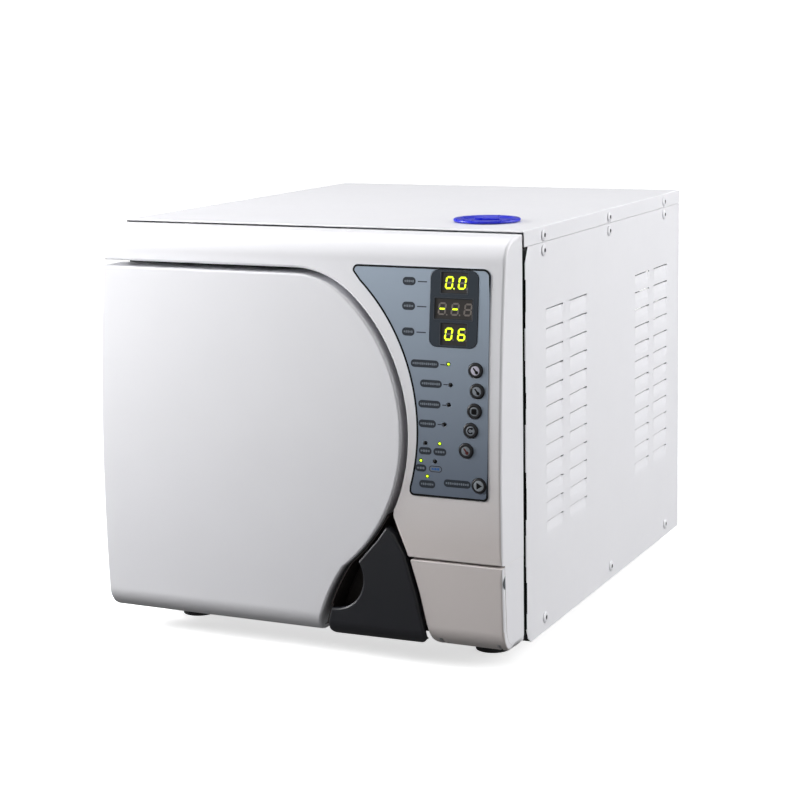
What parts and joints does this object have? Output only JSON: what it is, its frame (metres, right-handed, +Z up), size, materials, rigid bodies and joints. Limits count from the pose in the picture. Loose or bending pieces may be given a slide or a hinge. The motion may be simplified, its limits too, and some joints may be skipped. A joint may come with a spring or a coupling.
{
  "type": "benchtop autoclave",
  "caption": "Benchtop steam autoclave with a swing door on a round chamber, a side control panel, a lift-off filler cap and a drop-down service flap.",
  "frame": {"origin": "on the table, under the centre of the whole object's bounding box", "axes": "+X to the right as seen from the front, +Y to the back, +Z up"},
  "size_m": [0.4494, 0.59, 0.4344],
  "materials": {
    "cabinet_paint": "fine white powder coat",
    "frame_black": "black powder coat",
    "screw_white": "white painted pan head",
    "black_rubber": "matt",
    "white_moulding": "satin white moulding",
    "overlay_film": "fine matt polyester film",
    "display_lens": "dark smoked acrylic",
    "circuit_board": "solder mask",
    "black_plastic": "fine texture",
    "lamp_lens": "translucent lens",
    "key_cap": "light grey key",
    "steel": "machined",
    "stainless": "polished stainless",
    "silicone": "red silicone",
    "grey_plastic": "moulded",
    "charcoal_plastic": "fine grained moulding",
    "insulation_wool": "felted wool blanket",
    "heater_band": "mica band heater",
    "pump_casting": "painted casting",
    "fin_aluminium": "pressed fins",
    "chrome_wire": "plated wire",
    "tank_plastic": "natural polyethylene",
    "blue_plastic": "blue moulding",
    "copper_pipe": "drawn copper",
    "brass_fitting": "turned brass",
    "rocker_green": "green rocker"
  },
  "bodies": {
    "cabinet": {"base_pan": "cabinet_paint", "front_frame": "frame_black", "rear_panel": "cabinet_paint", "side_panel_left": "cabinet_paint", "side_panel_right": "cabinet_paint", "top_cover": "cabinet_paint", "cover_screws": "screw_white", "feet": "black_rubber", "fascia": "white_moulding", "control_overlay": "overlay_film", "display_window": "display_lens", "display_board": "circuit_board", "key_switches": "black_plastic", "indicator_lamps": "lamp_lens", "hinge_brackets": "steel", "hinge_pins": "steel", "latch_keeper": "steel", "chamber_vessel": "stainless", "chamber_flange": "stainless", "insulation": "insulation_wool", "band_heater": "heater_band", "tray_rack": "stainless", "steam_generator": "stainless", "vacuum_pump": "pump_casting", "condenser": "fin_aluminium", "fan_frame": "black_plastic", "fan_guard": "chrome_wire", "water_tank": "tank_plastic", "steam_pipe": "copper_pipe", "safety_valve": "brass_fitting", "main_board": "circuit_board", "mains_inlet": "black_plastic", "service_recess": "grey_plastic", "power_switch_body": "black_plastic", "drain_valves": "brass_fitting"},
    "door": {"door_cover": "white_moulding", "door_plate": "steel", "pressure_disc": "stainless", "door_seal": "silicone", "door_liner": "grey_plastic", "handle_recess": "black_plastic", "handle_pivot_pin": "steel"},
    "handle": {"door_handle": "charcoal_plastic"},
    "latch": {"latch_bolt": "steel"},
    "key_display": {"button_display": "key_cap"},
    "key_program_up": {"button_program_up": "key_cap"},
    "key_program_down": {"button_program_down": "key_cap"},
    "key_dry": {"button_dry": "key_cap"},
    "key_temperature": {"button_temperature": "key_cap"},
    "key_start": {"start_button": "key_cap"},
    "filler_cap": {"tank_cap": "blue_plastic"},
    "flap": {"service_flap": "white_moulding"},
    "rocker": {"power_rocker": "rocker_green"},
    "knob_clean": {"drain_knob_clean": "blue_plastic"},
    "knob_waste": {"drain_knob_waste": "grey_plastic"},
    "rotor": {"fan_rotor": "black_plastic"},
    "lower_tray": {"tray_lower": "stainless"},
    "middle_tray": {"tray_middle": "stainless"},
    "upper_tray": {"tray_upper": "stainless"}
  },
  "joints": [
    {"name": "door_swing", "type": "hinge", "parent": "cabinet", "child": "door", "pos_m": [-0.2095, -0.257, 0.232], "axis": [0, 0, -1], "range_deg": [0, 105]},
    {"name": "handle_pull", "type": "hinge", "parent": "door", "child": "handle", "pos_m": [0.0995, -0.2865, 0.09], "axis": [0, 0, 1], "range_deg": [0, 22], "stiffness_Nm_per_rad": 1.2},
    {"name": "latch_slide", "type": "slide", "parent": "door", "child": "latch", "axis": [-1, 0, 0], "range_m": [0, 0.01]},
    {"name": "press_display", "type": "slide", "parent": "cabinet", "child": "key_display", "axis": [0, 1, 0], "range_m": [0, 0.0009], "stiffness_N_per_m": 900},
    {"name": "press_program_up", "type": "slide", "parent": "cabinet", "child": "key_program_up", "axis": [0, 1, 0], "range_m": [0, 0.0009], "stiffness_N_per_m": 900},
    {"name": "press_program_down", "type": "slide", "parent": "cabinet", "child": "key_program_down", "axis": [0, 1, 0], "range_m": [0, 0.0009], "stiffness_N_per_m": 900},
    {"name": "press_dry", "type": "slide", "parent": "cabinet", "child": "key_dry", "axis": [0, 1, 0], "range_m": [0, 0.0009], "stiffness_N_per_m": 900},
    {"name": "press_temperature", "type": "slide", "parent": "cabinet", "child": "key_temperature", "axis": [0, 1, 0], "range_m": [0, 0.0009], "stiffness_N_per_m": 900},
    {"name": "press_start", "type": "slide", "parent": "cabinet", "child": "key_start", "axis": [0, 1, 0], "range_m": [0, 0.0009], "stiffness_N_per_m": 900},
    {"name": "cap_lift", "type": "slide", "parent": "cabinet", "child": "filler_cap", "axis": [0, 0, 1], "range_m": [0, 0.03]},
    {"name": "flap_drop", "type": "hinge", "parent": "cabinet", "child": "flap", "pos_m": [0.1815, -0.277, 0.034], "axis": [1, 0, 0], "range_deg": [0, 90]},
    {"name": "rocker_tilt", "type": "hinge", "parent": "cabinet", "child": "rocker", "pos_m": [0.1945, -0.189, 0.089], "axis": [-1, 0, 0], "range_deg": [0, 14]},
    {"name": "clean_drain_turn", "type": "hinge", "parent": "cabinet", "child": "knob_clean", "pos_m": [0.1655, -0.227, 0.056], "axis": [0, 1, 0], "range_deg": [0, 90]},
    {"name": "waste_drain_turn", "type": "hinge", "parent": "cabinet", "child": "knob_waste", "pos_m": [0.1965, -0.227, 0.056], "axis": [0, 1, 0], "range_deg": [0, 90]},
    {"name": "fan_spin", "type": "hinge", "parent": "cabinet", "child": "rotor", "pos_m": [-0.1125, 0.268, 0.22], "axis": [0, 1, 0], "continuous": true},
    {"name": "lower_tray_slide", "type": "slide", "parent": "cabinet", "child": "lower_tray", "axis": [0, -1, 0], "range_m": [0, 0.042]},
    {"name": "middle_tray_slide", "type": "slide", "parent": "cabinet", "child": "middle_tray", "axis": [0, -1, 0], "range_m": [0, 0.042]},
    {"name": "upper_tray_slide", "type": "slide", "parent": "cabinet", "child": "upper_tray", "axis": [0, -1, 0], "range_m": [0, 0.042]}
  ],
  "couplings": [
    {"joint": "latch_slide", "follows": "handle_pull", "m_per_rad": 0.0246}
  ]
}
